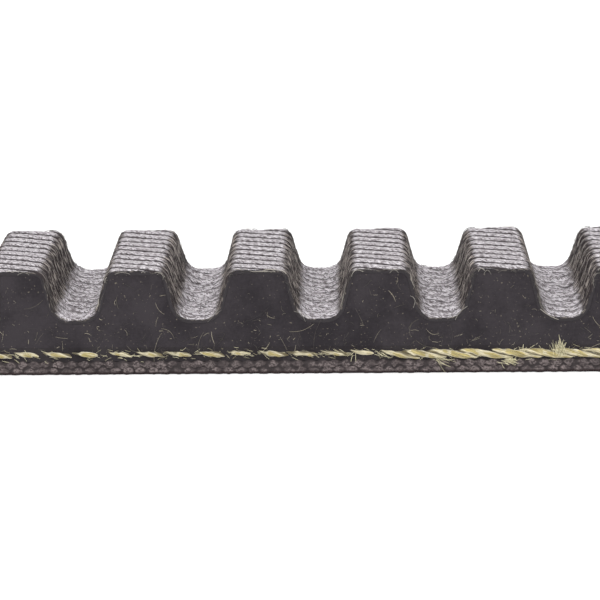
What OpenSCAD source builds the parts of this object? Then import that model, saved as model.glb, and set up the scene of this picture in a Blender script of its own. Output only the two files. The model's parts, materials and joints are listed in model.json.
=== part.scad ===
// Raw-edge cogged V belt: an endless loop of six bonded layers, cogs on the inside.
//
// The loop stands on its back: it lies in the XZ plane with its width along Y, its lowest face is on
// z = 0 and the middle of that face is the origin. Two straight runs are joined by two half-circle ends.
// Heights called t are measured from the belt's back face towards the cogs.
//
// A belt bends all along its length. Here it is divided at eight gaps between cogs into nine links, and
// each link turns about a line across the belt on the cord line, the only height that keeps its length.

/* [Belt section] */
// Width across the back face
belt_w = 16; // [14:0.5:20]
// Height from the back face to the cog tips
belt_h = 8.1; // [7.8:0.1:8.7]
// Angle between the two flanks
v_angle = 30; // [24:1:36]
// Height of the cord line above the back face
cord_line = 1.55; // [1.5:0.01:1.6]

/* [Cogs] */
// Distance from cog to cog along the cord line
pitch = 9.8; // [9.7:0.1:12]
// Height of a cog above the gap beside it
cog_h = 3.8; // [3:0.1:4]
// Length of a cog at its tip, corners unrounded
cog_tip = 4.75; // [4:0.05:4.8]
// Slope of a cog's two faces
cog_slope = 14.5; // [8:0.5:16]
// Radius at the foot of a cog
root_r = 1.4; // [0.8:0.1:1.4]
// Radius at the tip of a cog
tip_r = 1; // [0.6:0.05:1.1]

/* [Loop] */
// Cogs on the middle link of the lower run
center_cogs = 6; // [4:2:10]
// Cogs on the straight part of each side link
side_cogs = 8; // [4:1:16]
// Cogs round each half-circle end
bend_cogs = 12; // [12:4:20]

/* [Layers] */
// Thickness of each of the two woven plies on the back
ply_t = 0.5; // [0.4:0.05:0.5]
// Height at which the cushion round the cords ends and the cog rubber starts
cushion_top = 2.1; // [2.1:0.05:2.3]
// Thickness of the fabric liner over the cogs
liner_t = 0.4; // [0.3:0.05:0.5]
// Diameter of the tension cord
cord_d = 0.94; // [0.8:0.02:0.96]
// Turns of the cord side by side
cord_turns = 12; // [8:2:12]
// Distance between two turns of the cord
cord_spacing = 1.31; // [1.2:0.01:1.33]

/* [Flex] */
// Largest turn of a link against the next
flex_max = 15; // [5:1:20]
// Open length at the seam in the upper run, where the chain of links closes
seam_gap = 0.2; // [0.1:0.05:0.5]

/* [Hidden] */
LAYERS = ["outer_ply", "inner_ply", "cushion_rubber", "tension_cords", "cog_rubber", "cog_liner"];
LINKS = ["lower_center", "lower_right", "lower_left", "bend_right", "bend_left",
         "upper_right", "upper_left", "upper_center_right", "upper_center_left"];

$fn = 96;
arc_steps = 6;          // flats in each rounded corner of a cog
past = 1;               // how far a cutting shape runs past what it cuts
notch_relief = 0.03;    // the notch starts this far beyond the axis of the hinge
notch_half = flex_max / 2 + 0.75;

gap_t = belt_h - cog_h;                     // height of the gap floors
cord_r = bend_cogs * pitch / PI;            // radius of the cord line in the ends
back_r = cord_r + cord_line;                // radius of the back face in the ends
loop_h = 2 * back_r;
center_x = center_cogs / 2 * pitch;         // the lower run's two hinges
run_x = center_x + side_cogs * pitch;       // where the straight runs meet the ends
cog_turn = 180 / bend_cogs;                 // angle of one cog in the ends
hinge_turn = 45;                            // the hinges of the ends, above and below the middle

// A link is [straight start, straight end, bend start, bend end]: x in mm, then angles about the middle
// of the right-hand end, -90 at the lower run and 90 at the upper one.
center_link = [-center_x, center_x, 0, 0];
side_link = [center_x, run_x, -90, -hinge_turn];
bend_link = [0, 0, -hinge_turn, hinge_turn];
upper_center_link = [seam_gap / 2, center_x, 0, 0];

// ---------------------------------------------------------------- outlines

// Half width of the belt at height t
function half_w(t) = belt_w / 2 - t * tan(v_angle / 2);

// Where a point at length s and height t lies on the straight run that starts at x
function on_run(x, s, t) = [x + s, t];

// The same on the right-hand end, s being measured at the point's own radius from the direction a
function on_bend(a, s, t) =
    let (r = back_r - t, b = a + s / r * 180 / PI)
    [run_x + r * cos(b), back_r + r * sin(b)];

// The right half of a cog's outline, from its foot to its tip, at a depth below the surface
function half_cog(depth) =
    let (
        corner = tan((90 - cog_slope) / 2),
        root = [cog_tip / 2 + cog_h * tan(cog_slope) + root_r * corner, gap_t + root_r],
        tip = [cog_tip / 2 - tip_r * corner, belt_h - tip_r],
        turn = (90 - cog_slope) / arc_steps
    )
    concat(
        [for (i = [0 : arc_steps]) let (a = 270 - i * turn) root + (root_r + depth) * [cos(a), sin(a)]],
        [for (i = [0 : arc_steps]) let (a = cog_slope + i * turn) tip + (tip_r - depth) * [cos(a), sin(a)]]
    );

// A whole cog's outline, foot to foot
function cog(depth) =
    let (half = half_cog(depth), last = len(half) - 1)
    concat([for (p = half) [-p.x, p.y]], [for (i = [last : -1 : 0]) half[i]]);

// The cogs of a link's straight part, with the gap floor running a little past both ends
function run_cogs(link, depth) =
    let (count = round((link[1] - link[0]) / pitch), start = link[1] - count * pitch)
    count == 0 ? [] : concat(
        [on_run(link[0], -past, gap_t - depth)],
        [for (k = [0 : count - 1]) for (p = cog(depth)) on_run(start + (k + 0.5) * pitch, p.x, p.y)],
        link[3] > link[2] ? [] : [on_run(link[1], past, gap_t - depth)]
    );

// The cogs of a link's bent part
function bend_cogs_of(link, depth) =
    let (count = round((link[3] - link[2]) / cog_turn))
    count == 0 ? [] : concat(
        link[1] > link[0] ? [] : [on_bend(link[2], -past, gap_t - depth)],
        [for (k = [0 : count - 1]) for (p = cog(depth)) on_bend(link[2] + (k + 0.5) * cog_turn, p.x, p.y)],
        [on_bend(link[3], past, gap_t - depth)]
    );

// A link's whole cogged side, at a depth below the surface
function cogged_side(link, depth) = concat(run_cogs(link, depth), bend_cogs_of(link, depth));

// A path that stays outside the cogs' rubber, along the back face from the link's far end to its start
function back_side(link) =
    let (steps = round((link[3] - link[2]) / cog_turn))
    concat(
        steps == 0 ? [on_run(link[1], past, 0)] : [on_bend(link[3], past, 0)],
        [for (k = [steps : -1 : 1]) on_bend(link[2] + k * cog_turn, 0, 0)],
        link[1] > link[0] ? [on_run(link[0], -past, 0)] : [on_bend(link[2], -past, 0)]
    );

// ---------------------------------------------------------------- building blocks

// A side view carried across the whole width of the belt
module across(points) {
    rotate([90, 0, 0])
        linear_extrude(belt_w + 2 * past, center = true)
            polygon(points);
}

// One layer of the V section along a whole link
module v_layer(link, from_t, to_t) {
    if (link[1] > link[0])
        translate([link[0], 0, 0])
            rotate([90, 0, 90])
                linear_extrude(link[1] - link[0])
                    polygon([[-half_w(from_t), from_t], [half_w(from_t), from_t],
                             [half_w(to_t), to_t], [-half_w(to_t), to_t]]);
    if (link[3] > link[2])
        translate([run_x, 0, back_r])
            rotate([90, 0, 0])
                rotate_extrude(angle = link[3] - link[2], start = link[2])
                    polygon([[back_r - from_t, -half_w(from_t)], [back_r - from_t, half_w(from_t)],
                             [back_r - to_t, half_w(to_t)], [back_r - to_t, -half_w(to_t)]]);
}

// One turn of the tension cord along a whole link, at y
module cord_turn(link, y) {
    if (link[1] > link[0])
        translate([link[0], y, cord_line])
            rotate([0, 90, 0])
                cylinder(h = link[1] - link[0], d = cord_d, $fn = 32);
    if (link[3] > link[2])
        translate([run_x, 0, back_r])
            rotate([90, 0, 0])
                rotate_extrude(angle = link[3] - link[2], start = link[2])
                    translate([cord_r, -y])
                        circle(d = cord_d, $fn = 32);
}

module cord_turns_of(link) {
    for (i = [0 : cord_turns - 1])
        cord_turn(link, (i - (cord_turns - 1) / 2) * cord_spacing);
}

// The room that a hinge on the lower run needs to fold towards the cogs
module run_notch(x) {
    top = belt_h + past;
    side = (top - cord_line) * tan(notch_half);
    across([[x, cord_line - notch_relief], [x + side, top], [x - side, top]]);
}

// The room that a hinge in the right-hand end needs to straighten
module bend_notch(a) {
    side = (cord_line + past) * tan(notch_half);
    across([on_bend(a, 0, cord_line + notch_relief), on_bend(a, side, -past), on_bend(a, -side, -past)]);
}

// What is drawn, less the notches at the link's own hinges
module between_hinges(link) {
    difference() {
        children();
        for (x = [link[0], link[1]])
            if (abs(x) == center_x) run_notch(x);
        for (a = [link[2], link[3]])
            if (abs(a) == hinge_turn) bend_notch(a);
    }
}

// ---------------------------------------------------------------- the six layers

// Woven fabric on the belt's back
module outer_ply(link) {
    color([0.34, 0.30, 0.30])
        between_hinges(link)
            v_layer(link, 0, ply_t);
}

// Second woven fabric, bonded to the first
module inner_ply(link) {
    color([0.40, 0.36, 0.36])
        between_hinges(link)
            v_layer(link, ply_t, 2 * ply_t);
}

// Soft rubber that holds the cords
module cushion_rubber(link) {
    color([0.15, 0.14, 0.15])
        between_hinges(link)
            difference() {
                v_layer(link, 2 * ply_t, cushion_top);
                cord_turns_of(link);
            }
}

// Aramid cord, the outermost turns cut open by the flanks
module tension_cords(link) {
    color([0.78, 0.71, 0.54])
        between_hinges(link)
            intersection() {
                cord_turns_of(link);
                v_layer(link, 2 * ply_t, cushion_top);
            }
}

// Fibre-filled rubber that forms the cogs
module cog_rubber(link) {
    color([0.20, 0.19, 0.20])
        between_hinges(link)
            intersection() {
                v_layer(link, cushion_top, belt_h + past);
                across(concat(cogged_side(link, liner_t), back_side(link)));
            }
}

// Ribbed fabric over the cogs and gaps
module cog_liner(link) {
    inner = cogged_side(link, liner_t);
    color([0.66, 0.63, 0.63])
        between_hinges(link)
            intersection() {
                v_layer(link, cushion_top, belt_h + past);
                across(concat(cogged_side(link, 0), [for (i = [len(inner) - 1 : -1 : 0]) inner[i]]));
            }
}

module layer_of(layer, link) {
    if (layer == "outer_ply") outer_ply(link);
    if (layer == "inner_ply") inner_ply(link);
    if (layer == "cushion_rubber") cushion_rubber(link);
    if (layer == "tension_cords") tension_cords(link);
    if (layer == "cog_rubber") cog_rubber(link);
    if (layer == "cog_liner") cog_liner(link);
}

// ---------------------------------------------------------------- the nine links

// The left half of the loop mirrors the right half, and the upper run mirrors the lower one
module on_left() {
    mirror([1, 0, 0])
        children();
}

module on_top() {
    translate([0, 0, loop_h])
        mirror([0, 0, 1])
            children();
}

module piece(link, layer) {
    if (link == "lower_center") layer_of(layer, center_link);
    if (link == "lower_right") layer_of(layer, side_link);
    if (link == "lower_left") on_left() layer_of(layer, side_link);
    if (link == "bend_right") layer_of(layer, bend_link);
    if (link == "bend_left") on_left() layer_of(layer, bend_link);
    if (link == "upper_right") on_top() layer_of(layer, side_link);
    if (link == "upper_left") on_top() on_left() layer_of(layer, side_link);
    if (link == "upper_center_right") on_top() layer_of(layer, upper_center_link);
    if (link == "upper_center_left") on_top() on_left() layer_of(layer, upper_center_link);
}

for (link = LINKS)
    for (layer = LAYERS)
        piece(link, layer);
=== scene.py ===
import json
import math
from collections import namedtuple

import bmesh
import bpy
import numpy as np
from mathutils import Matrix, Vector


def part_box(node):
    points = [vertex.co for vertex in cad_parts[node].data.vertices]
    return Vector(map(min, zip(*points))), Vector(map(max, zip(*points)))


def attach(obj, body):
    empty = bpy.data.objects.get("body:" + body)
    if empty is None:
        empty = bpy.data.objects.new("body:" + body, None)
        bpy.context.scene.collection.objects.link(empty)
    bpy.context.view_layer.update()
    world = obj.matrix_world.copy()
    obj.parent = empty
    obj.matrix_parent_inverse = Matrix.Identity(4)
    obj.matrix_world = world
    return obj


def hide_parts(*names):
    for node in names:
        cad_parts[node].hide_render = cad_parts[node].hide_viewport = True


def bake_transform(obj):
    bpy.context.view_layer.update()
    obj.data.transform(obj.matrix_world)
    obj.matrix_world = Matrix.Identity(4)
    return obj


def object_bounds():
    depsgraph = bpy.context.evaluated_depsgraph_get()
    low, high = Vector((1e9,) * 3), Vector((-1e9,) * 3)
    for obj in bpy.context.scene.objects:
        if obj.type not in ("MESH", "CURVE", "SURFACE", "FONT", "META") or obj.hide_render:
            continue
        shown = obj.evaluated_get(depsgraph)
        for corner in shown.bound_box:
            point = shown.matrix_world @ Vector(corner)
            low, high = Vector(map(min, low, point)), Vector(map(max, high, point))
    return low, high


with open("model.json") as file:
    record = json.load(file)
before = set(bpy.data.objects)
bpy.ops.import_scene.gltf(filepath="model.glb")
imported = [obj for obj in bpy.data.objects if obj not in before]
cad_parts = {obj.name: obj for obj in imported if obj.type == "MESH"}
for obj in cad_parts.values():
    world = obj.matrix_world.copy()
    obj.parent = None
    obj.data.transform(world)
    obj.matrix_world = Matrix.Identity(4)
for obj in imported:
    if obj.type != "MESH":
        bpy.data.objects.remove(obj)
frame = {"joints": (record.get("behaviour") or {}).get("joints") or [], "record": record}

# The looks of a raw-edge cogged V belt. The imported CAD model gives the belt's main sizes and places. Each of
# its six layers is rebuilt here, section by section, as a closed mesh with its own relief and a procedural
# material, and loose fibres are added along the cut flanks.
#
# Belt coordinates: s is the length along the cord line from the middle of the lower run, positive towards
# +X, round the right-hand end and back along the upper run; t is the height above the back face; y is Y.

MM = 0.001
cad_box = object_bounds()

# ---- sizes from the frame

JOINTS = {joint["name"]: joint for joint in frame["joints"]}
MOUNTS = {mount["name"]: mount for mount in frame["record"]["mounts"]}
HINGE_X, _, CORD_T = JOINTS["flex_lower_right"]["pos_m"]
LINER_LOW, LINER_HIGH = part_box("lower_center_cog_liner")
RUBBER_LOW, RUBBER_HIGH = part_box("lower_center_cog_rubber")
FLANK_AXIS = MOUNTS["rear_flank"]["axis"]

MIDDLE_COGS = 6                                     # cogs on the middle link of the lower run
PITCH = 2 * HINGE_X / MIDDLE_COGS
HALF_W = cad_box[1].y                               # half the width of the back face
BACK_R = (cad_box[1].z - cad_box[0].z) / 2          # radius of the back face round the ends
RUN_X = cad_box[1].x - BACK_R                       # where the straight runs meet the ends
CORD_R = BACK_R - CORD_T
PLY_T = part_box("lower_center_outer_ply")[1].z
CUSHION_T = RUBBER_LOW.z                            # top of the cushion, foot of the cog rubber
TIP_T = LINER_HIGH.z
LINER = TIP_T - RUBBER_HIGH.z                       # thickness of the liner
GAP_T = LINER_LOW.z + LINER                         # height of the gap floors
FLANK_TAN = abs(FLANK_AXIS[2] / FLANK_AXIS[1])      # lean of the flanks

# A cog's outline, as in the CAD model.
COG_TIP = 4.75 * MM                                 # length at the tip, corners unrounded
COG_SLOPE = math.radians(14.5)                      # lean of a cog's two faces
ROOT_R, TIP_R = 1.4 * MM, 1.0 * MM                  # radii at its foot and tip
CORNER = math.tan((math.pi / 2 - COG_SLOPE) / 2)    # where a rounding starts, in radii from its corner
COG_LEAN = (TIP_T - GAP_T) * math.tan(COG_SLOPE)    # how much further out a face is at its foot
ROOT_S = COG_TIP / 2 + COG_LEAN + ROOT_R * CORNER   # from a cog's middle to where the gap floor starts

CORD_TURNS, CORD_SPACING = 12, 1.31 * MM            # the cord's turns too are as in the CAD model
RUN_CELLS, BEND_CELLS = 11, 12                      # cogs from a run's middle to its end, and round an end

# ---- the camera

LENS = 122.7                                        # focal length, in millimetres
YAW, DOWN, ROLL = math.radians(-1.39), math.radians(18.23), math.radians(-0.84)
AIM_X, AIM_Z = -0.169 * PITCH, 0.363 * PITCH        # the point that it looks at
CAMERA_AWAY = 17.42 * PITCH                         # and how far it is from there

camera_data = bpy.data.cameras.new("camera")
camera_data.lens = LENS
camera_data.clip_start = 0.01
camera = bpy.data.objects.new("camera", camera_data)
bpy.context.scene.collection.objects.link(camera)
bpy.context.scene.camera = camera

look = Vector((math.sin(YAW) * math.cos(DOWN), math.cos(YAW) * math.cos(DOWN), -math.sin(DOWN)))
target = Vector((AIM_X, 0, AIM_Z))
camera.location = target - CAMERA_AWAY * look
camera.rotation_mode = "QUATERNION"
camera.rotation_quaternion = look.to_track_quat("-Z", "Y") @ Matrix.Rotation(ROLL, 3, "Z").to_quaternion()

# ---- the belt's sections
# A section is a stretch of whole cogs, from one gap's middle to another's. It rides on one link or, if it's
# the two cogs beside a hinge, stays fixed across the gap between them. Its start and end are counted in
# cogs from the middle of the lower run.

Section = namedtuple("Section", "name start end bodies")
BEND_REACH = 0.3                                    # how far from the hinge, in cogs, tie() puts two points, which it doesn't use
MIDDLE_HALF = MIDDLE_COGS // 2
SEAM = 2 * RUN_CELLS + BEND_CELLS                   # where the two halves meet, in the same cogs
HINGES = [
    ("flex_lower_{}", MIDDLE_HALF),
    ("flex_bend_{}_low", RUN_CELLS + BEND_CELLS // 4),
    ("flex_bend_{}_high", RUN_CELLS + 3 * BEND_CELLS // 4),
    ("flex_upper_{}", SEAM - MIDDLE_HALF),
]


def half_sections(side):
    """The right half's sections, from the middle on. The left half's are the same, mirrored."""
    links = ["lower_center"] + [f"{part}_{side}" for part in ("lower", "bend", "upper", "upper_center")]
    ends = [hinge - 1 for _, hinge in HINGES[1:]] + [SEAM]
    sections = []
    for (joint, hinge), end, link, next_link in zip(HINGES, ends, links, links[1:]):
        sections.append(Section(joint.format(side), hinge - 1, hinge + 1, [link, next_link]))
        sections.append(Section(next_link, hinge + 1, end, [next_link]))
    return sections


SECTIONS = [Section("lower_center", 1 - MIDDLE_HALF, MIDDLE_HALF - 1, ["lower_center"])]
SECTIONS += half_sections("right")
SECTIONS += [Section(name, -end, -start, bodies) for name, start, end, bodies in half_sections("left")]

# ---- noise


def noise_2d(x, y, seed):
    """Smooth noise from 0 to 1 over a square lattice of unit cells, the same on every run."""
    size = 257
    table = np.random.default_rng(seed).random((size, size))
    x, y = np.broadcast_arrays(np.asarray(x, float), np.asarray(y, float))
    i, j = np.floor(x).astype(int), np.floor(y).astype(int)
    u, v = ease(x - i), ease(y - j)
    low = table[i % size, j % size] * (1 - u) + table[(i + 1) % size, j % size] * u
    high = table[i % size, (j + 1) % size] * (1 - u) + table[(i + 1) % size, (j + 1) % size] * u
    return low * (1 - v) + high * v


def ease(x):
    return x * x * (3 - 2 * x)


def step_between(low, high, x):
    """0 below low, 1 above high and a smooth rise between, or the reverse where low is the greater."""
    return ease(np.clip((x - low) / (high - low), 0, 1))


# ---- from belt coordinates to the shared frame


def half_width(t):
    return HALF_W - t * FLANK_TAN


def bend_angle(cell, along, t):
    """Angle from the lower run of a point in one of the bent cells. A cog keeps its own length however far
    in it is, and the floor beside it takes up the difference."""
    half_turn = math.pi / BEND_CELLS / 2
    r = BACK_R - np.maximum(t, GAP_T - LINER)
    on_cog = np.minimum(np.abs(along), ROOT_S) / r
    on_floor = np.clip((np.abs(along) - ROOT_S) / (PITCH / 2 - ROOT_S), 0, 1) * (half_turn - ROOT_S / r)
    return (2 * cell + 1) * half_turn + np.sign(along) * (on_cog + on_floor)


def place(cell, along, t, y):
    """Points in the shared frame. cell is a cog's number, from 0 at the middle of the lower run, and along
    is measured from that cog's middle. The left half, with its negative cells, is the mirror image."""
    cell, along, t, y = np.broadcast_arrays(cell, along, t, y)
    left = cell < 0
    number = np.where(left, -cell - 1, cell)
    ahead = np.where(left, -along, along)
    s = (number + 0.5) * PITCH + ahead
    angle = bend_angle(number - RUN_CELLS, ahead, t)
    on_lower = number < RUN_CELLS
    on_upper = number >= RUN_CELLS + BEND_CELLS
    x = np.where(on_lower, s, RUN_X + (BACK_R - t) * np.sin(angle))
    x = np.where(on_upper, 2 * RUN_X + math.pi * CORD_R - s, x)
    z = np.where(on_lower, t, BACK_R - (BACK_R - t) * np.cos(angle))
    z = np.where(on_upper, 2 * BACK_R - t, z)
    return np.stack([np.where(left, -x, x), y, z], axis=-1)


def place_s(s, t, y):
    """Points in the shared frame for what doesn't follow the cogs."""
    s, t, y = np.broadcast_arrays(s, t, y)
    size = np.abs(s)
    upper_s = RUN_X + math.pi * CORD_R
    angle = np.clip((size - RUN_X) / CORD_R, 0, math.pi)
    x = np.where(size < RUN_X, size, RUN_X + (BACK_R - t) * np.sin(angle))
    x = np.where(size > upper_s, RUN_X + upper_s - size, x)
    z = BACK_R - (BACK_R - t) * np.cos(angle)
    return np.stack([np.sign(s) * x, y, z], axis=-1)


# ---- meshes


def add_fact(mesh, name, values):
    """Keeps a number or a vector for each point of a mesh, for its material."""
    if values.ndim == 3:
        mesh.attributes.new(name, "FLOAT_VECTOR", "POINT").data.foreach_set("vector", values.ravel())
    else:
        mesh.attributes.new(name, "FLOAT", "POINT").data.foreach_set("value", values.ravel())


def new_piece(name, points, faces):
    """A piece from points in the shared frame and faces, which are lists of the points' numbers."""
    mesh = bpy.data.meshes.new(name)
    mesh.from_pydata(points.reshape(-1, 3).tolist(), [], faces)
    piece = bpy.data.objects.new(name, mesh)
    bpy.context.scene.collection.objects.link(piece)
    return piece


def swept(name, rings, facts, crease=40):
    """A closed piece through rings of points, shaped (stations, points round, 3), with both ends capped.
    facts are numbers for its points, which its material reads, and crease is the sharpest smooth edge."""
    stations, around, _ = rings.shape
    index = np.arange(stations * around).reshape(stations, around)
    a, b = index[:-1], index[1:]
    quads = np.stack([a, b, np.roll(b, -1, axis=1), np.roll(a, -1, axis=1)], axis=-1).reshape(-1, 4)
    caps = [index[0].tolist(), index[-1][::-1].tolist()]
    piece = new_piece(name, rings, quads.tolist() + caps)
    mesh = piece.data
    mesh.shade_smooth()
    for key, values in facts.items():
        shape = (stations, around, 3) if key == "belt" else (stations, around)
        add_fact(mesh, key, np.broadcast_to(values, shape))
    turn_outward(mesh)
    mesh.set_sharp_from_angle(angle=math.radians(crease))
    return piece


def turn_outward(mesh):
    """Turns every face outward, and divides the end caps into triangles."""
    work = bmesh.new()
    work.from_mesh(mesh)
    bmesh.ops.triangulate(work, faces=[face for face in work.faces if len(face.verts) > 4])
    bmesh.ops.recalc_face_normals(work, faces=work.faces)
    work.to_mesh(mesh)
    work.free()


def belt_facts(s, y, t):
    """The belt coordinates of points, in millimetres, which the materials' patterns follow."""
    return np.stack(np.broadcast_arrays(s, y, t), axis=-1) / MM


def joined(pieces, name):
    """Several pieces as one."""
    first = pieces[0]
    with bpy.context.temp_override(active_object=first, object=first, selected_objects=pieces,
                                   selected_editable_objects=pieces):
        bpy.ops.object.join()
    first.name = name
    first.data.name = name
    return first


def tie(piece, section, material, layer=None):
    """Gives a piece its material and slot, and has it ride on its link; a piece across a hinge is only baked
    into the shared frame. A layer's own piece stands for the CAD node on that link."""
    bodies = section.bodies
    piece.data.materials.clear()
    piece.data.materials.append(material)
    if len(bodies) == 1:
        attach(piece, bodies[0])
        if layer:
            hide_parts(f"{bodies[0]}_{layer}")
    else:
        hinge = (section.start + section.end) / 2
        reach = math.copysign(BEND_REACH, hinge)
        start, end = place_s(np.array([hinge - reach, hinge + reach]) * PITCH, CORD_T, 0)
        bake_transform(piece)


# ---- a cog's outline


def cog_outline(step):
    """One cell's outline at the liner's surface, from gap middle to gap middle, at about that step: along
    and t, the two parts of the normal, and the length since the start."""
    root = np.array([ROOT_S, GAP_T + ROOT_R])
    tip = np.array([COG_TIP / 2 - TIP_R * CORNER, TIP_T - TIP_R])
    face = np.array([math.cos(COG_SLOPE), math.sin(COG_SLOPE)])
    up = np.array([0.0, 1.0])
    points, normals = [], []

    def line(start, end, normal):
        count = max(1, round(np.linalg.norm(end - start) / step))
        for k in range(count):
            points.append(start + (end - start) * k / count)
            normals.append(normal)

    def arc(centre, radius, first, last, sign):
        count = max(3, round(abs(last - first) * radius / step))
        for angle in np.linspace(first, last, count, endpoint=False):
            ray = np.array([math.cos(angle), math.sin(angle)])
            points.append(centre + radius * ray)
            normals.append(sign * ray)

    line(np.array([PITCH / 2, GAP_T]), np.array([root[0], GAP_T]), up)
    arc(root, ROOT_R, 1.5 * math.pi, math.pi + COG_SLOPE, -1)
    line(root - ROOT_R * face, tip + TIP_R * face, face)
    arc(tip, TIP_R, COG_SLOPE, math.pi / 2, 1)
    line(np.array([tip[0], TIP_T]), np.array([0, TIP_T]), up)
    points.append(np.array([0, TIP_T]))
    normals.append(up)
    mirror = np.array([-1, 1])
    outline = np.concatenate([np.array(points) * mirror, points[-2::-1]])
    normal = np.concatenate([np.array(normals) * mirror, normals[-2::-1]])
    run = np.concatenate([[0], np.cumsum(np.linalg.norm(np.diff(outline, axis=0), axis=1))])
    return np.column_stack([outline, normal, run]).T


def cogged(section, step):
    """The outline along a whole section, each as a column: cell, along, t, the normal's parts, run."""
    along, t, n_s, n_t, run = cog_outline(step)
    cells = []
    for cell in range(section.start, section.end):
        points = np.stack([np.full_like(along, cell), along, t, n_s, n_t, run + cell * run[-1]])
        cells.append(points if cell == section.end - 1 else points[:, :-1])
    return [row[:, None] for row in np.concatenate(cells, axis=1)]


HIDDEN_COUNT = 5              # points across a hidden face


def shares(count):
    """Shares of the half width, from the front flank to the rear one."""
    return np.linspace(-1, 1, count)[None, :]


# ---- the cog liner

RIB_PITCH = 1.21 * MM         # from rib to rib of the liner's fabric
RIB_SKEW = math.radians(15)   # the fabric is laid at an angle to the belt
RIB_RELIEF = 0.15 * MM        # depth of the grooves between the ribs
YARN_TWIST = 0.55 * MM        # length of one turn of a rib's yarn
RIB_WANDER = 0.20             # how far the ribs wander, in ribs
RIB_SQUEEZE = 0.50            # how much further down in the gaps, where the fabric was squeezed together
RIB_RIPPLE = 0.22             # and over short lengths
EDGE_WEAR = 0.06 * MM         # how much the liner's cut edges are worn down


def rib_place(run, y, raised):
    """Which rib a point of the fabric is on, counted across the ribs with a fraction."""
    wander = RIB_WANDER * (noise_2d(run / (3.1 * MM), y / (2.7 * MM), seed=11) - 0.5)
    squeeze = RIB_SQUEEZE * (noise_2d(run / (1.3 * MM), y / (1.1 * MM), seed=14) - 0.5) * (1 - raised)
    ripple = RIB_RIPPLE * (noise_2d(run / (0.5 * MM), y / (0.9 * MM), seed=15) - 0.5) * (1 - 0.7 * raised)
    return (y * math.cos(RIB_SKEW) + run * math.sin(RIB_SKEW)) / RIB_PITCH + wander + squeeze + ripple


def rib_relief(run, q, raised):
    """Height of the fabric at rib place q, in shares of the relief, and how deep in a groove it is. The
    grooves vary in strength and width, and are weaker and more broken down in the gaps."""
    rib = np.floor(q)
    f = q - rib - 0.5
    groove_number = rib + (f > 0)
    broken = noise_2d(run / (0.85 * MM), groove_number * 7.3, seed=12)
    strength = step_between(-0.15, 0.65 - 0.5 * raised, broken) * (0.55 + 0.45 * raised)
    width = 0.12 + 0.07 * noise_2d(run / (0.6 * MM), groove_number * 3.1, seed=13)
    groove = np.exp(-((0.5 - np.abs(f)) / width) ** 2) * strength
    own_phase = 37 * np.sin(rib * 12.9898)      # each rib's yarn has its own
    twist = np.sin(2 * math.pi * (run / YARN_TWIST + 1.4 * f) + own_phase)
    rounding = 0.8 * f * f
    return 0.1 - groove - rounding + 0.10 * twist * (1 - groove), groove


def cog_liner(section, step, count, material):
    """The ribbed fabric over the cogs, with its cut edges and the hidden face on the rubber."""
    cell, along, t, n_s, n_t, run = cogged(section, step)
    share = shares(count)
    raised = (t - GAP_T) / (TIP_T - GAP_T)
    y = share * half_width(t)
    q = rib_place(run, y, raised)
    relief, groove = rib_relief(run, q, raised)
    relief = RIB_RELIEF * relief - EDGE_WEAR * np.abs(share) ** 60
    outer_t = t + relief * n_t
    outer = place(cell, along + relief * n_s, outer_t, share * half_width(outer_t))

    def cut_edge(side, at):
        """The liner's cut edge on one flank: points from its surface down to the rubber."""
        rim = relief[:, at] * (1 - edge) - LINER * edge
        rim_t = t + rim * n_t
        return place(cell, along + rim * n_s, rim_t, side * half_width(rim_t))

    edge = np.array([[0.15, 0.35, 0.6, 0.85]])
    rear, front = cut_edge(1, slice(-1, None)), cut_edge(-1, slice(0, 1))
    inner_t = t - LINER * n_t
    inner = place(cell, along - LINER * n_s, inner_t, -shares(HIDDEN_COUNT) * half_width(inner_t))
    rings = np.concatenate([outer, rear, inner, front[:, ::-1]], axis=1)
    column, rim_points, hidden = np.ones_like(t), np.ones_like(edge), np.ones((1, HIDDEN_COUNT))

    def round_ring(on_top, on_edge, inside):
        """A fact's values round the ring: on the fabric, on its cut edges and on its hidden face."""
        edges = column * rim_points * on_edge
        return np.concatenate([column * on_top, edges, column * hidden * inside, edges[:, ::-1]], axis=1)

    facts = {
        "belt": belt_facts(run, round_ring(y, half_width(t), 0), t),
        "rib": round_ring(q, q[:, -1:], 0),
        "groove": round_ring(groove, 0 * edge, 0),
        "depth": round_ring(0 * share, edge, 1),
        "steep": np.abs(n_s),
        "inset": round_ring(1 - np.abs(share), 0, 0),
        "raised": raised,
    }
    piece = swept(f"{section.name}_cog_liner_fabric", rings, facts)
    tie(piece, section, material, "cog_liner")


# ---- the cog rubber

CUT_RIPPLE = 0.03 * MM        # unevenness of the cut flanks
RUBBER_ROWS = 8               # points up a cog's flank


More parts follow.
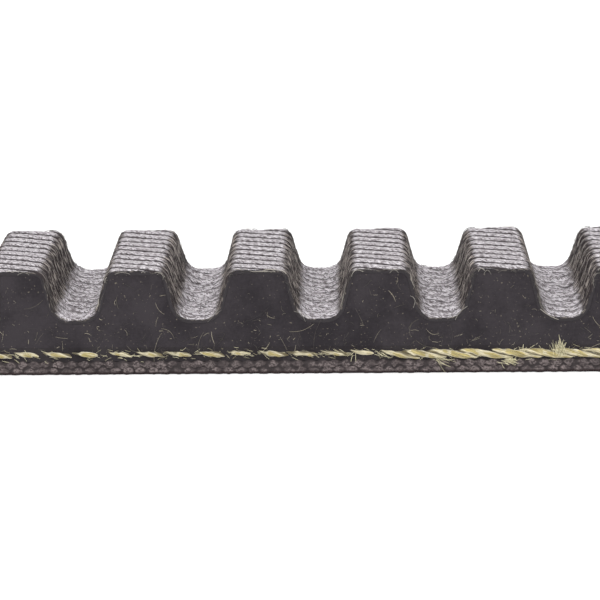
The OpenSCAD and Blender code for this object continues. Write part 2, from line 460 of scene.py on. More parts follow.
def cog_rubber(section, step, material):
    """The cogs and the web under them, up to the liner, whose cut edge stands on the flanks' rims."""
    cell, along, t, n_s, n_t, _ = cogged(section, step)
    top_along, top_t = along - LINER * n_s, t - LINER * n_t
    up = np.linspace(0, 1, RUBBER_ROWS)[None, :]
    flank_t = CUSHION_T + (top_t - CUSHION_T) * up
    flank_along = top_along + (along - top_along) * (1 - up)
    flank_s = (cell + 0.5) * PITCH + flank_along
    cut = CUT_RIPPLE * (noise_2d(flank_s / (1.1 * MM), flank_t / (0.9 * MM), seed=21) - 0.5)
    rear_y, front_y = half_width(flank_t) + cut, -half_width(flank_t) - cut
    inside = shares(HIDDEN_COUNT)[:, 1:-1]
    top_y, bottom_y = -inside * half_width(top_t), inside * half_width(CUSHION_T)
    level = 0 * t * inside
    ring_y = np.concatenate([rear_y, top_y, front_y[:, ::-1], bottom_y + level], axis=1)
    ring_t = np.concatenate([flank_t, top_t + level, flank_t[:, ::-1], CUSHION_T + level], axis=1)
    top_along, low_along = top_along + level, along + level
    ring_along = np.concatenate([flank_along, top_along, flank_along[:, ::-1], low_along], axis=1)
    rings = place(cell, ring_along, ring_t, ring_y)
    facts = {"belt": belt_facts((cell + 0.5) * PITCH + ring_along, ring_y, ring_t)}
    piece = swept(f"{section.name}_cog_rubber_body", rings, facts)
    tie(piece, section, material, "cog_rubber")


# ---- the layers under the cogs


def strip(name, section, low_t, high_t, step, rows, count, relief, facts):
    """A closed strip of the belt between two heights. relief's "flank"(s, t, side) says how far a point of a
    flank stands out, and how far it's raised. Its "back"(s, y) says how far one of the lower face is sunk.
    Each fact has two such functions."""
    stations = max(2, round((section.end - section.start) * PITCH / step)) + 1
    s = np.linspace(section.start, section.end, stations)[:, None] * PITCH
    t = np.linspace(low_t, high_t, rows)[None, :]
    inside = shares(count)[:, 1:-1]
    sides = {}
    for side in (-1, 1):
        out, rise = relief["flank"](s, t, side)
        sides[side] = (side * (half_width(t) + out), t + rise)
    top_y, low_y = -inside * half_width(high_t) + 0 * s, inside * half_width(low_t) + 0 * s
    top_t, bottom_t = high_t + 0 * top_y, low_t + relief["back"](s, low_y)
    ring_y = np.concatenate([sides[1][0], top_y, sides[-1][0][:, ::-1], low_y], axis=1)
    ring_t = np.concatenate([sides[1][1] + 0 * s, top_t, (sides[-1][1] + 0 * s)[:, ::-1], bottom_t], axis=1)
    rings = place_s(s, ring_t, ring_y)
    shown = {"belt": belt_facts(s, ring_y, ring_t)}
    for key, (on_flank, on_back) in facts.items():
        rear, front = on_flank(s, t, 1), on_flank(s, t, -1)[:, ::-1]
        shown[key] = np.concatenate([rear, 0 * top_y, front, on_back(s, low_y)], axis=1)
    return swept(name, rings, shown)


NUB_PITCH = 1.0 * MM        # from one cut yarn end to the next along the flank
NUB_RELIEF = 0.12 * MM
NUB_SWELL = 0.06 * MM       # how far the rows of yarn ends swell into each other
NUB_RAGGED = 1.4            # how ragged their outlines are
PLY_ROWS = 9                # points up a ply's flank
BACK_COUNT, INNER_COUNT = 84, 8       # points across the back face and across the inner ply
WEAVE_PITCH = 1.05 * MM     # from yarn to yarn on the back face
WEAVE_RELIEF = 0.10 * MM
CUSHION_RIPPLE = 0.04 * MM  # unevenness of the cushion's cut flanks
CUSHION_ROWS, CUSHION_STEP = 6, 0.4 * MM


def nub_place(s, side, ply):
    """Which yarn end of a ply a point of the flank is on, with a fraction. The two plies are staggered."""
    drift = 0.35 * noise_2d(s / (3.7 * MM), 5 * ply + side + 7, seed=33)
    return s / NUB_PITCH + 0.5 * ply + 0.3 * side + drift


def nubs(s, t, side, ply):
    """The cut yarn ends of a woven ply on the flank: 0 between them, 1 on top of one."""
    q = nub_place(s, side, ply)
    number = np.floor(q)
    wobble = noise_2d(number * 1.7, ply + 3 * side + 9, seed=31) - 0.5
    half = 0.50 + 0.2 * (noise_2d(number * 2.3, ply + 5 * side + 9, seed=32) - 0.5)
    across = (q - number - 0.5 + 0.25 * wobble) / half
    rise = (t - (ply + 0.5 + 0.25 * wobble) * PLY_T) / (0.58 * PLY_T)
    ragged = NUB_RAGGED * (noise_2d(s / (0.25 * MM), t / (0.21 * MM) + 20 * side + 50, seed=34) - 0.5)
    return np.sqrt(np.clip(1 + ragged - across ** 2 - rise ** 2, 0, 1)) * (1 + 0.5 * wobble)


def flat(s, y):
    """0 at every point: no relief, or a fact that isn't there."""
    return 0 * s * y


def weave(s, y):
    """The plain weave of the back face, laid at 45 degrees to the belt: 0 to 1."""
    u, v = (s + y) / (math.sqrt(2) * WEAVE_PITCH), (s - y) / (math.sqrt(2) * WEAVE_PITCH)
    warp = np.abs(np.sin(math.pi * u)) * (0.5 + 0.5 * np.cos(math.pi * (np.floor(u) + v - 0.5)))
    weft = np.abs(np.sin(math.pi * v)) * (0.5 - 0.5 * np.cos(math.pi * (np.floor(v) + u - 0.5)))
    return np.maximum(warp, weft)


def woven_ply(section, ply, step, material):
    """One of the two plies: 0 is the outer one, on the belt's back."""
    layer = ("outer_ply", "inner_ply")[ply]

    def flank(s, t, side):
        """A row's upper edge rises over its own yarn ends, and its lower edge gives way to the row below."""
        out = NUB_RELIEF * nubs(s, t, side, ply)
        up = (t - ply * PLY_T) / PLY_T
        own = np.cos(2 * math.pi * (nub_place(s, side, ply) - 0.5))
        below = np.cos(2 * math.pi * (nub_place(s, side, 0) - 0.5))
        return out, NUB_SWELL * (own * up + below * (1 - up) * ply)

    def back(s, y):
        return WEAVE_RELIEF * (1 - weave(s, y)) if ply == 0 else flat(s, y)

    name = f"{section.name}_{layer}_cloth"
    count = (BACK_COUNT, INNER_COUNT)[ply]
    relief = {"flank": flank, "back": back}
    facts = {
        "nub": (lambda s, t, side: nubs(s, t, side, ply), weave),
        "flank": (lambda s, t, side: 1 + flat(s, t), flat),
    }
    piece = strip(name, section, ply * PLY_T, (ply + 1) * PLY_T, step, PLY_ROWS, count, relief, facts)
    tie(piece, section, material, layer)


def cushion(section, material):
    """The soft rubber that the cord lies in."""

    def flank(s, t, side):
        ripple = noise_2d(s / (0.8 * MM), t / (0.35 * MM) + 9 * side + 20, seed=41) - 0.5
        return CUSHION_RIPPLE * ripple, 0

    name = f"{section.name}_cushion_rubber_body"
    relief = {"flank": flank, "back": flat}
    piece = strip(name, section, 2 * PLY_T, CUSHION_T, CUSHION_STEP, CUSHION_ROWS, HIDDEN_COUNT, relief, {})
    tie(piece, section, material, "cushion_rubber")


# ---- the tension cord

CORD_LAY = 7.4 * MM                         # length of one turn of the cord's three strands
STRANDS = 3
STRAND_OFF = 0.27 * MM                      # from the cord's middle to a strand's
STRAND_THICK, STRAND_WIDE = 0.25 * MM, 0.36 * MM
CORD_FLAT = 0.84                            # the cord is pressed a little flat
OPEN_SIDES = 16                             # points round a strand of the outermost turns
HIDDEN_SIDES, HIDDEN_STEP = 6, 0.8 * MM     # and of those inside the cushion, with the step along them
TURN_PHASE = 2.1                            # how far each turn's twist is ahead of the last one's
BURIED, BARE = 0.31 * MM, 0.20 * MM         # depth of the outermost cord's middle behind the flank
BARE_FROM, BARE_TO = 4.5 * MM, 8 * MM       # the cord comes out of the front flank between these lengths
SUNK_FROM, SUNK_TO = 7 * PITCH, 8 * PITCH   # and goes in again between these
DROOP = 0.13 * MM                           # how far it hangs where it's out


def cord_bare(turn, s):
    """1 where the outermost cord lies open on the flank, 0 where only its strands' crowns are cut."""
    if turn == 0:
        return step_between(BARE_FROM, BARE_TO, s) * step_between(SUNK_TO, SUNK_FROM, s)
    return step_between(0.5, 0.65, noise_2d(s / (23 * MM), 3.5, seed=52))


def cord_strand(s, turn, strand, sides):
    """One strand of one turn: its rings of points, and the facts that its material needs. The outermost
    turns are the two that the flanks cut: where one isn't bare, a strand shows only at its crown, as an
    oval in the rubber, and shrinks back between."""
    phase = 2 * math.pi * (s / CORD_LAY + strand / STRANDS) + TURN_PHASE * turn
    around = np.linspace(0, 2 * math.pi, sides, endpoint=False)[None, :]
    middle = (turn - (CORD_TURNS - 1) / 2) * CORD_SPACING
    side = math.copysign(1, middle)
    outermost = turn in (0, CORD_TURNS - 1)
    bare = cord_bare(turn, s) if outermost else 1
    fray = noise_2d(s / (0.36 * MM), strand + 4 * turn + 2 * np.cos(around), seed=53) - 0.5
    size = 1 + (0.75 - 0.33 * bare) * fray
    crown = side * np.cos(phase)                         # 1 where this strand faces the flank
    pinch = 1 - (1 - bare) * (0.40 + 0.42 * step_between(0.99, 0.60, crown))
    if outermost:
        pinch = pinch - 0.15 * bare
    rise = 1 - 0.6 * (1 - bare)                          # cut crowns lie nearly level
    thick = STRAND_THICK * np.cos(around) * size
    wide = STRAND_WIDE * np.sin(around) * size * pinch
    y = (STRAND_OFF + thick) * np.cos(phase) - wide * np.sin(phase)
    t = CORD_FLAT * ((STRAND_OFF * rise + thick) * np.sin(phase) + wide * np.cos(phase))
    droop = 0
    proud = 0 * s * around
    if outermost:
        cut = noise_2d((s + strand * 40 * MM) / (2.5 * MM), turn, seed=54) - 0.5
        depth = BURIED + (BARE - BURIED) * bare + (0.34 - 0.22 * bare) * MM * cut
        middle = side * (half_width(CORD_T) - depth)
        shrink = 1 - 0.42 * (1 - bare) * step_between(0.7, 0.3, crown)
        y, t = y * shrink, t * shrink
        droop = -DROOP * bare
        proud = np.clip((y * side - depth) / (0.14 * MM), -1, 1)
    points = place_s(s, CORD_T + t + droop, middle + y)
    crest = np.hypot(y, t / CORD_FLAT) / (STRAND_OFF + STRAND_THICK) + 0 * s
    own_place = belt_facts(s, 0.9 * MM * around, strand * 3 * MM)
    return points, {"belt": own_place, "crest": crest, "proud": proud}


def tension_cords(section, step, material):
    """The cord's turns, side by side from flank to flank, each of three twisted strands."""
    length = (section.end - section.start) * PITCH
    strands = []
    for turn in range(CORD_TURNS):
        outermost = turn in (0, CORD_TURNS - 1)
        spacing, sides = (step, OPEN_SIDES) if outermost else (HIDDEN_STEP, HIDDEN_SIDES)
        stations = max(4, round(length / spacing)) + 1
        s = np.linspace(section.start, section.end, stations)[:, None] * PITCH
        for strand in range(STRANDS):
            rings, facts = cord_strand(s, turn, strand, sides)
            strands.append(swept("strand", rings, facts, crease=80))
    piece = joined(strands, f"{section.name}_tension_cord_turns")
    tie(piece, section, material, "tension_cords")


# ---- loose fibres

HAIR_STATIONS, HAIR_SIDES = 8, 4
HAIR_KEEP, TUFT_KEEP = 0.08, 0.2           # how far a fibre's or tuft's middle keeps from the section's ends
CHOP_RADII = (0.008 * MM, 0.018 * MM)      # of the thinnest and the thickest chopped fibre
CHOP_LONGEST = 2.6 * MM                    # length of the longest chopped fibre
FUZZ_RADIUS, TUFT_RADIUS = 0.014 * MM, 0.019 * MM    # of the thickest filament, by itself and in a tuft
FUZZ_OFF = 0.10 * MM                       # how far off the flank a filament's foot is
THREAD_RADII = (0.012 * MM, 0.026 * MM)    # of the liner's thinnest and thickest thread


def own_random(section, base):
    """A section's own random numbers, the same on every run."""
    return np.random.default_rng(base + 3 * section.start + section.end)


def hair(path, radius):
    """Rings of a thin fibre along a path of points, thinner at its ends."""
    ahead = np.gradient(path, axis=0)
    ahead /= np.linalg.norm(ahead, axis=1, keepdims=True)
    helper = np.where(np.abs(ahead[:, 1:2]) < 0.9, [[0.0, 1.0, 0.0]], [[1.0, 0.0, 0.0]])
    one = np.cross(ahead, helper)
    one /= np.linalg.norm(one, axis=1, keepdims=True)
    two = np.cross(ahead, one)
    taper = np.sin(np.linspace(0.12, 0.88, len(path)) * math.pi)[:, None, None] ** 0.4
    angle = np.linspace(0, 2 * math.pi, HAIR_SIDES, endpoint=False)[None, :, None]
    return path[:, None] + radius * taper * (one[:, None] * np.cos(angle) + two[:, None] * np.sin(angle))


def hairs_piece(section, kind, hairs, tones, material):
    """Many fibres as one piece, each with its own tone from 0 to 1."""
    rings = np.stack(hairs)
    index = np.arange(rings[..., 0].size).reshape(rings.shape[:3])
    a, b = index[:, :-1], index[:, 1:]
    quads = np.stack([a, np.roll(a, -1, axis=2), np.roll(b, -1, axis=2), b], axis=-1).reshape(-1, 4)
    caps = np.concatenate([index[:, 0, ::-1], index[:, -1]])
    piece = new_piece(f"{section.name}_{kind}", rings, np.concatenate([quads, caps]).tolist())
    add_fact(piece.data, "tone", np.repeat(tones, HAIR_STATIONS * HAIR_SIDES).astype(np.float32))
    tie(piece, section, material)


def flank_hair(s, t, side, length, angle, bow, radius, lift):
    """A curved fibre on a flank: its middle, length, direction in the flank, bow and height off the rubber
    at its start and end."""
    k = np.linspace(-0.5, 0.5, HAIR_STATIONS)
    curve = bow * length * (k * k - 0.25)
    along = s + length * k * math.cos(angle) - curve * math.sin(angle)
    up = t + length * k * math.sin(angle) + curve * math.cos(angle)
    up = np.maximum(up, 0.1 * MM)
    off = radius * 0.4 + lift[0] * (0.5 - k) + lift[1] * (0.5 + k)
    return hair(place_s(along, up, side * (half_width(up) + off)), radius)


def rubber_top(s):
    """Height of the rubber's top under the liner at a length along the belt."""
    along, t, n_s, n_t, _ = cog_outline(0.2 * MM)
    return np.interp(s % PITCH - PITCH / 2, along - LINER * n_s, t - LINER * n_t)


def chopped_fibres(section, per_cell, material):
    """The chopped fibres that show in the rubber's cut flanks: most are dull and half sunk, a few bright."""
    rng = own_random(section, 1000)
    hairs, tones = [], []
    for side in (-1, 1):
        for _ in range(per_cell * (section.end - section.start)):
            s = rng.uniform(section.start + HAIR_KEEP, section.end - HAIR_KEEP) * PITCH
            t = CUSHION_T - 0.3 * MM + (rubber_top(s) - CUSHION_T) * rng.beta(0.8, 1.5)
            length = min(rng.lognormal(-1.2, 0.8) * MM, CHOP_LONGEST)
            angle = rng.uniform(0, math.pi)
            bow = rng.normal(0, 0.35)
            radius = rng.uniform(*CHOP_RADII)
            lift = (0, 0.06 * MM * rng.random() ** 3)
            hairs.append(flank_hair(s, t, side, length, angle, bow, radius, lift))
            tones.append(rng.random() ** 2.6)
    hairs_piece(section, "chopped_fibres", hairs, tones, material)


# Big tufts on the front flank: how many cogs from the middle, height from the cord line, direction and its
# spread in degrees, length, number of filaments, and how far off the flank their feet are.
BIG_TUFTS = [
    (0.95, -0.35 * MM, -24, 11, 1.5 * MM, 9, 0.10 * MM),
    (1.53, -0.62 * MM, -8, 20, 0.8 * MM, 40, 0.12 * MM),
    (1.965, -0.15 * MM, 98, 27, 1.2 * MM, 34, 0.36 * MM),
]


def cord_fuzz(section, per_cell, material):
    """Filaments that stand loose along the cut cord, with a small tuft for each cog and a few big ones."""
    rng = own_random(section, 2000)
    hairs, tones = [], []

    def add(s, t, side, length, angle, thickest=FUZZ_RADIUS, off=FUZZ_OFF):
        """One filament: its middle, length, direction, greatest radius and its foot's distance off."""
        bow = rng.normal(0, 0.2)
        radius = rng.uniform(0.5, 1) * thickest
        lift = (off, rng.uniform(0.05, 0.35) * MM)
        hairs.append(flank_hair(s, t, side, length, angle, bow, radius, lift))
        tones.append(rng.uniform(0.3, 1))

    def add_tuft(s, t, side, angle, spread, length, count, off=FUZZ_OFF):
        """A bundle of filaments that bursts out of the cord."""
        for _ in range(count):
            turned = rng.normal(angle, spread)
            size = length * rng.uniform(0.5, 1.1)
            foot_s, foot_t = s + rng.normal(0, 0.27) * MM, t + rng.normal(0, 0.12) * MM
            middle_s = foot_s + 0.5 * size * math.cos(turned)
            middle_t = foot_t + 0.5 * size * math.sin(turned)
            add(middle_s, middle_t, side, size, turned, TUFT_RADIUS, off)

    for side in (-1, 1):
        for _ in range(per_cell * (section.end - section.start)):
            s = rng.uniform(section.start + HAIR_KEEP, section.end - HAIR_KEEP) * PITCH
            angle = rng.normal(-0.16, 0.12) if rng.random() < 0.6 else rng.uniform(-0.9, 0.7)
            t = CORD_T + rng.normal(0, 0.20) * MM
            add(s, t, side, rng.uniform(0.15, 0.65) * MM, angle)
        for _ in range(section.end - section.start):
            s = rng.uniform(section.start + TUFT_KEEP, section.end - TUFT_KEEP) * PITCH
            add_tuft(s, CORD_T, side, rng.uniform(0, 2 * math.pi), spread=0.5, length=0.6 * MM, count=6)
    if section.name == "lower_center":
        for cells, rise, angle, spread, length, count, off in BIG_TUFTS:
            angle, spread = math.radians(angle), math.radians(spread)
            add_tuft(cells * PITCH, CORD_T + rise, -1, angle, spread, length, count, off)
    hairs_piece(section, "cord_fuzz", hairs, tones, material)


def edge_threads(section, per_cell, material):
    """Threads of the liner that have come loose at its cut edges, along the cogs' faces and corners."""
    rng = own_random(section, 3000)
    along, t, n_s, n_t, run = cog_outline(0.15 * MM)
    hairs, tones = [], []
    for side in (-1, 1):
        for cell in range(section.start, section.end):
            for _ in range(per_cell):
                length = rng.uniform(0.3, 1.5) * MM
                start = rng.uniform(0.03, 0.97) * (run[-1] - length)
                at = start + np.linspace(0, length, HAIR_STATIONS)
                stray = np.linspace(-1, 1, HAIR_STATIONS) ** 2 * rng.normal(0.04, 0.13) * MM
                depth = np.maximum(rng.uniform(-0.02, 0.20) * MM + stray, -0.03 * MM)
                hair_t = np.interp(at, run, t) - depth * np.interp(at, run, n_t)
                hair_along = np.interp(at, run, along) - depth * np.interp(at, run, n_s)
                off = rng.uniform(-0.02, 0.05) * MM + 0.5 * np.abs(stray)
                path = place(cell, hair_along, hair_t, side * (half_width(hair_t) + off))
                hairs.append(hair(path, rng.uniform(*THREAD_RADII)))
                tones.append(rng.random() ** 2)
    hairs_piece(section, "liner_edge_threads", hairs, tones, material)


# ---- materials
# The patterns follow the belt coordinates in millimetres, so a noise of scale 1 has grains of about 1 mm.


class Material:
    """A material and short calls that add a node to it and give back the node's output."""

    def __init__(self, name, specular=0.5):
        self.material = bpy.data.materials.new(name)
        self.material.use_nodes = True
        self.tree = self.material.node_tree
        self.shader = self.tree.nodes["Principled BSDF"]
        self.shader.inputs["Specular IOR Level"].default_value = specular

    def feed(self, socket, value):
        """Sets a socket to a number or a colour, or links another node's output to it."""
        if isinstance(value, bpy.types.NodeSocket):
            self.tree.links.new(value, socket)
        elif isinstance(value, tuple) and len(value) == 3 and socket.type == "RGBA":
            socket.default_value = (*value, 1)
        else:
            socket.default_value = value

    def node(self, kind, output, inputs, **settings):
        """Adds a node with those settings, and feeds its inputs, which are named or numbered."""
        node = self.tree.nodes.new(f"ShaderNode{kind}")
        for name, value in settings.items():
            setattr(node, name, value)
        for name, value in inputs.items():
            self.feed(node.inputs[name], value)
        return node.outputs[output]

    def fact(self, name):
        """A fact of the mesh: three numbers for "belt", one for any other."""
        return self.node("Attribute", "Vector" if name == "belt" else "Fac", {}, attribute_name=name)

    def frame_place(self):
        """A point's place in the shared frame, in metres."""
        return self.node("TexCoord", "Object", {})

    def vector(self, x, y, z=0.0):
        return self.node("CombineXYZ", "Vector", {"X": x, "Y": y, "Z": z})

    def parts(self, vector):
        return list(self.node("SeparateXYZ", "X", {"Vector": vector}).node.outputs)

    def stretch(self, vector, scale, turn=0.0):
        """A vector turned about its third axis, by an angle in degrees, and then scaled."""
        inverse = tuple(1 / size for size in scale)
        inputs = {"Vector": vector, "Rotation": (0, 0, math.radians(turn)), "Scale": inverse}
        return self.node("Mapping", "Vector", inputs, vector_type="TEXTURE")

    def noise(self, vector, scale=1.0, detail=2.0, rough=0.5):
        inputs = {"Vector": vector, "Scale": scale, "Detail": detail, "Roughness": rough}
        return self.node("TexNoise", "Fac", inputs)

    def math(self, operation, *values):
        return self.node("Math", "Value", dict(enumerate(values)), operation=operation)

    def scaled(self, value, factor, offset=0.0):
        """The value times the factor, plus the offset."""
        return self.math("MULTIPLY_ADD", value, factor, offset)

    def ramp(self, value, low, high):
        """0 where the value is below low, 1 where it's above high, and smooth between, or the reverse where
        low is the greater."""
        inputs = {"Value": value, "From Min": low, "From Max": high}
        return self.node("MapRange", "Result", inputs, interpolation_type="SMOOTHSTEP")

    def mix(self, share, a, b):
        """Colour a where the share is 0 and b where it's 1. Sockets 6, 7 and 2 are the ones for colours."""
        return self.node("Mix", 2, {0: share, 6: a, 7: b}, data_type="RGBA")

    def finish(self, colour, roughness, height, relief):
        """Links the colour, the roughness and a bump of that relief to the shader."""
        bump = self.node("Bump", "Normal", {"Height": height, "Distance": relief})
        self.feed(self.shader.inputs["Base Color"], colour)
        self.feed(self.shader.inputs["Roughness"], roughness)
        self.feed(self.shader.inputs["Normal"], bump)
        return self.material


def liner_material():
    """Ribbed polyamide fabric: pale worn crests on the tips, darker cog faces, and grooves that are dark with
    painted shade and dirt.
    """
    tip_pale, tip_dull, tip_gap = (0.68, 0.65, 0.675), (0.16, 0.142, 0.150), (0.12, 0.102, 0.106)
    floor_pale, floor_dull = (0.63, 0.60, 0.63), (0.125, 0.108, 0.114)
    floor_speck, floor_line = (0.15, 0.132, 0.139), (0.10, 0.085, 0.09)
    worn, groove_shade_and_dirt = (0.27, 0.245, 0.255), (0.034, 0.027, 0.029)
    face_dark, face_thread = (0.029, 0.023, 0.024), (0.37, 0.325, 0.295)
    edge_dark, edge_yarn = (0.033, 0.029, 0.032), (0.24, 0.21, 0.18)

    m = Material("ribbed_liner_fabric", specular=0.15)
    run = m.parts(m.fact("belt"))[0]
    rib, raised, depth = m.fact("rib"), m.fact("raised"), m.fact("depth")
    thread = m.vector(run, m.scaled(rib, RIB_PITCH / MM))
    yarn = m.noise(m.stretch(thread, (2.6, 9.0, 1), -12), 1.0, 3.0, 0.65)
    twist = m.noise(m.stretch(thread, (2.5, 8.2, 1), -48), 1.0, 2.0)

    # The cogs' tips: pale filaments, with gaps that follow the yarns' twist.
    tip = m.mix(m.ramp(yarn, 0.40, 0.60), tip_dull, tip_pale)
    tip = m.mix(m.ramp(twist, 0.34, 0.46), tip_gap, tip)

    # The gap floors: short pale stitches and specks, with broken lines between the rows.
    speck = m.noise(m.stretch(thread, (2.2, 5.6, 1), 6), 1.0, 2.0, 0.6)
    across_row = m.math("PINGPONG", m.math("ADD", rib, m.scaled(m.noise(thread, 1.8, 2.0), 0.7)), 0.5)
    broken = m.ramp(m.noise(thread, 1.1, 2.0), 0.38, 0.5)
    floor = m.mix(m.ramp(twist, 0.38, 0.50), floor_dull, floor_pale)
    floor = m.mix(m.ramp(speck, 0.50, 0.42), floor, floor_speck)
    floor = m.mix(m.math("MULTIPLY", m.ramp(across_row, 0.11, 0.03), broken), floor, floor_line)
    crest = m.mix(m.ramp(raised, 0.25, 0.85), floor, tip)
    patch = m.ramp(m.noise(thread, 0.45, 2.0), 0.35, 0.75)
    crest = m.mix(m.scaled(patch, 0.25), crest, worn)

    # The cogs' faces: fine threads, which are darker near the flanks. The border with the crests is ragged.
    thread_line = m.ramp(m.noise(m.stretch(thread, (0.9, 8.0, 1), 8), 1.0, 3.0), 0.50, 0.60)
    inward = m.scaled(m.ramp(m.fact("inset"), 0.03, 0.40), 0.60, 0.48)
    face = m.mix(m.math("MULTIPLY", thread_line, inward), face_dark, face_thread)
    ragged = m.scaled(m.noise(thread, 1.6, 3.0), 0.6, -0.3)
    in_gap = m.scaled(raised, 0.36, -0.36)
    turned = m.math("ADD", m.math("ADD", m.fact("steep"), ragged), in_gap)
    colour = m.mix(m.ramp(turned, 0.20, 0.64), crest, face)
    # The grooves between the ribs: painted shade, together with dirt, in their depths.
    colour = m.mix(m.ramp(m.fact("groove"), 0.18, 0.62), colour, groove_shade_and_dirt)

    # The cut edge: dark, with pale yarn ends close to the surface.
    ends = m.ramp(m.noise(m.vector(run, depth), 2.6, 2.0), 0.52, 0.66)
    ends = m.math("MULTIPLY", ends, m.ramp(depth, 0.45, 0.05))
    edge = m.mix(ends, edge_dark, edge_yarn)
    colour = m.mix(m.ramp(depth, 0.0, 0.12), colour, edge)
    return m.finish(colour, m.scaled(yarn, -0.25, 0.85), m.math("ADD", yarn, twist), relief=0.09 * MM)


def rubber_material(name, dark, light, speck):
    """Cut and ground rubber: near-black and matt, with fine marks along the belt and pale specks."""
    pale = (0.16, 0.14, 0.11)
    m = Material(name, specular=0.1)
    s, y, t = m.parts(m.fact("belt"))
    flat_place = m.vector(s, t, m.scaled(y, 0.2))
    grain = m.noise(flat_place, 3.5, 3.0, 0.7)
    cloud = m.noise(flat_place, 0.35, 2.0)
    marks = m.noise(m.stretch(flat_place, (0.5, 5, 1), 3), 2.0, 2.0)
    specks = m.ramp(m.noise(flat_place, 6.0, 1.0), 0.69, 0.78)
    colour = m.mix(m.ramp(m.math("ADD", cloud, m.scaled(grain, 0.5)), 0.5, 1.0), dark, light)
    colour = m.mix(m.scaled(specks, speck), colour, pale)
    height = m.math("ADD", grain, m.scaled(marks, 0.8))
    return m.finish(colour, m.scaled(marks, 0.25, 0.65), height, relief=0.03 * MM)


def cord_material():
    """Twisted aramid: cream filaments, golden where the strands are cut through, with painted shade deep
    between the strands.
    """
    cream_dark, cream_light = (0.29, 0.24, 0.13), (0.80, 0.735, 0.53)
    gold_dark, gold_light = (0.23, 0.18, 0.055), (0.60, 0.50, 0.21)
    shade_between_strands, sunk = (0.13, 0.105, 0.05), (0.07, 0.058, 0.035)
    m = Material("twisted_aramid_cord", specular=0.3)
    m.shader.inputs["Sheen Weight"].default_value = 0.3
    s, round_mm, strand = m.parts(m.fact("belt"))
    crest, proud = m.fact("crest"), m.fact("proud")
    filament = m.noise(m.vector(m.scaled(s, 0.9), m.scaled(round_mm, 5.0), strand), 1.0, 3.0)
    patch = m.noise(m.vector(m.scaled(s, 0.8), round_mm, strand), 1.0, 2.0)
    cream = m.mix(m.ramp(filament, 0.34, 0.62), cream_dark, cream_light)
    gold = m.mix(m.ramp(filament, 0.36, 0.64), gold_dark, gold_light)
    cut_through = m.math("MULTIPLY", m.ramp(crest, 0.91, 0.985), m.ramp(patch, 0.32, 0.50))
    colour = m.mix(cut_through, cream, gold)
    # Painted shade on the strands' sides, deep between them.
    colour = m.mix(m.ramp(crest, 0.86, 0.70), colour, shade_between_strands)
    colour = m.mix(m.ramp(proud, 0.10, -0.25), colour, sunk)
    return m.finish(colour, m.scaled(filament, 0.3, 0.6), filament, relief=0.09 * MM)


def ply_material(name, yarn_dark, yarn_light):
    """Rubbered cloth: grey-brown cut yarn ends on the flanks, and a dark weave on the back face."""
    gap_between, painted_contact_shadow = (0.041, 0.034, 0.035), (0.024, 0.016, 0.017)
    weave_dark, weave_light = (0.034, 0.031, 0.033), (0.078, 0.072, 0.075)
    weave_gap, scuffed = (0.016, 0.014, 0.015), (0.07, 0.066, 0.066)
    m = Material(name, specular=0.15)
    s, y, t = m.parts(m.fact("belt"))
    nub = m.fact("nub")

    # The flanks: stippled yarn ends with rubber between them, and painted contact shadow along the lowest
    # edge.
    stipple = m.noise(m.vector(s, m.scaled(t, 1.3), m.scaled(y, 0.3)), 5.0, 3.0, 0.65)
    cloud = m.ramp(m.noise(m.vector(s, t), 0.8, 2.0), 0.42, 0.62)
    ends = m.mix(m.ramp(stipple, 0.38, 0.62), yarn_dark, yarn_light)
    ends = m.mix(m.scaled(cloud, 0.7), ends, yarn_dark)
    ends = m.mix(m.ramp(nub, 0.0, 0.9), gap_between, ends)
    # Painted contact shadow, darkest at the flank's lowest edge.
    ends = m.mix(m.ramp(t, 0.32, 0.10), ends, painted_contact_shadow)

    # The back face, whose weave is laid at 45 degrees.
    along_yarn, across_yarn = m.math("ADD", s, y), m.math("SUBTRACT", s, y)
    fibres = m.noise(m.vector(m.scaled(along_yarn, 0.8), m.scaled(across_yarn, 5.0)), 1.0, 2.0)
    scuffs = m.ramp(m.noise(m.vector(s, y), 0.12, 3.0), 0.45, 0.7)
    back = m.mix(m.ramp(fibres, 0.3, 0.7), weave_dark, weave_light)
    back = m.mix(m.ramp(nub, 0.25, 0.85), weave_gap, back)
    back = m.mix(m.scaled(scuffs, 0.4), back, scuffed)

    colour = m.mix(m.ramp(m.fact("flank"), 0.3, 0.9), back, ends)
    return m.finish(colour, m.scaled(stipple, 0.3, 0.65), m.math("ADD", stipple, fibres), relief=0.09 * MM)


def fibre_material(name, dull, bright):
    """Loose fibres, each between a dull and a bright tone, with a fine mottle along them."""
    m = Material(name, specular=0.3)
    mottle = m.noise(m.frame_place(), 2500.0, 2.0)
    tone = m.math("ADD", m.fact("tone"), m.scaled(mottle, 0.5, -0.25))
    colour = m.mix(m.ramp(tone, 0.0, 1.0), dull, bright)
    return m.finish(colour, m.scaled(mottle, 0.3, 0.55), mottle, relief=0.01 * MM)


LINER_FABRIC = liner_material()
FIBRE_RUBBER = rubber_material(
    "fibre_filled_rubber", dark=(0.021, 0.018, 0.021), light=(0.037, 0.032, 0.036), speck=0.8)
CUSHION_RUBBER = rubber_material(
    "cushion_rubber", dark=(0.018, 0.015, 0.017), light=(0.032, 0.028, 0.030), speck=0.6)
ARAMID_CORD = cord_material()
BACK_FABRIC = ply_material("back_fabric", yarn_dark=(0.055, 0.044, 0.045), yarn_light=(0.22, 0.182, 0.178))
INNER_FABRIC = ply_material("inner_fabric", yarn_dark=(0.050, 0.040, 0.041), yarn_light=(0.19, 0.158, 0.155))
CHOPPED_FIBRE = fibre_material("chopped_fibre", dull=(0.035, 0.032, 0.030), bright=(0.40, 0.36, 0.27))
CORD_FILAMENT = fibre_material("cord_filament", dull=(0.20, 0.17, 0.09), bright=(0.78, 0.73, 0.50))
LINER_THREAD = fibre_material("liner_thread", dull=(0.05, 0.045, 0.042), bright=(0.46, 0.43, 0.38))

# ---- the belt
# The three sections that the photo shows are finer than the others: the steps along the belt, the points
# across the liner, and the numbers of loose fibres for each cog on each flank.

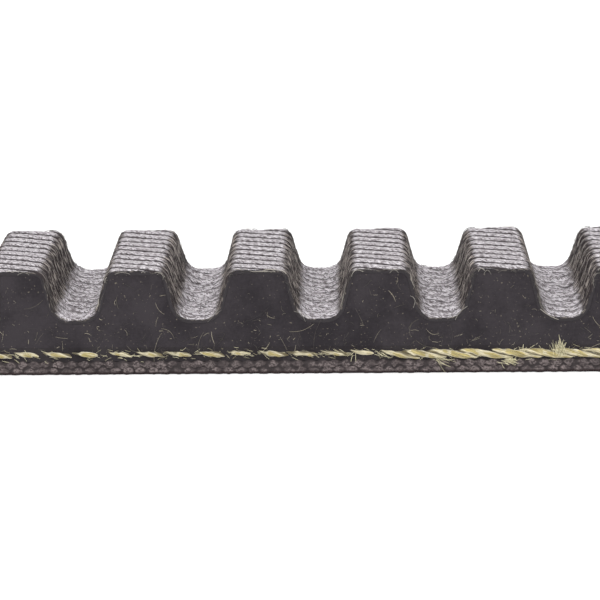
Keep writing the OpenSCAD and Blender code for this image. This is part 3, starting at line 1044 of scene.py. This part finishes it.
IN_PHOTO = ("lower_center", "flex_lower_right", "flex_lower_left")
FINE = {"cog_step": 0.13 * MM, "ply_step": 0.09 * MM, "cord_step": 0.12 * MM, "liner_count": 110,
        "chopped": 80, "fuzz": 56, "threads": 19}
COARSE = {"cog_step": 0.25 * MM, "ply_step": 0.20 * MM, "cord_step": 0.30 * MM, "liner_count": 72,
          "chopped": 30, "fuzz": 20, "threads": 12}

for section in SECTIONS:
    detail = FINE if section.name in IN_PHOTO else COARSE
    cog_liner(section, detail["cog_step"], detail["liner_count"], LINER_FABRIC)
    cog_rubber(section, 2 * detail["cog_step"], FIBRE_RUBBER)
    cushion(section, CUSHION_RUBBER)
    woven_ply(section, 0, detail["ply_step"], BACK_FABRIC)
    woven_ply(section, 1, detail["ply_step"], INNER_FABRIC)
    tension_cords(section, detail["cord_step"], ARAMID_CORD)
    chopped_fibres(section, detail["chopped"], CHOPPED_FIBRE)
    cord_fuzz(section, detail["fuzz"], CORD_FILAMENT)
    edge_threads(section, detail["threads"], LINER_THREAD)

# ---- floor and light

FLOOR_REACH = 6                             # half the floor's side, in metres
FLOOR_DROP = 0.01 * MM                      # the floor lies this far under the belt
LIGHT_SIZE = 1.2                            # side of the two square lights


def area_light(name, place_at, power):
    """A soft square light that faces the same point as the camera."""
    lamp = bpy.data.lights.new(name, "AREA")
    lamp.size = LIGHT_SIZE
    lamp.energy = power
    lamp_object = bpy.data.objects.new(name, lamp)
    lamp_object.location = place_at
    lamp_object.rotation_euler = (target - lamp_object.location).to_track_quat("-Z", "Y").to_euler()
    bpy.context.scene.collection.objects.link(lamp_object)


def floor_material():
    m = Material("white_paper")
    mottle = m.noise(m.frame_place(), 30.0, 3.0)
    colour = m.mix(mottle, (0.93, 0.93, 0.93), (0.95, 0.95, 0.95))
    return m.finish(colour, m.scaled(mottle, 0.1, 0.85), mottle, relief=0.02 * MM)


square = [(-1, -1), (1, -1), (1, 1), (-1, 1)]
corners = np.array([(x * FLOOR_REACH, y * FLOOR_REACH, -FLOOR_DROP) for x, y in square])
floor = new_piece("floor", corners, [[0, 1, 2, 3]])
floor.data.materials.append(floor_material())

world = bpy.data.worlds.new("white_surroundings")
bpy.context.scene.world = world
world.use_nodes = True
world.node_tree.nodes["Background"].inputs["Color"].default_value = (1, 1, 1, 1)
world.node_tree.nodes["Background"].inputs["Strength"].default_value = 1.1
bpy.context.scene.view_settings.view_transform = "Standard"
area_light("key_light", place_at=(-0.7, -0.8, 1.9), power=26)
area_light("back_light", place_at=(0.6, 1.2, 1.5), power=9)
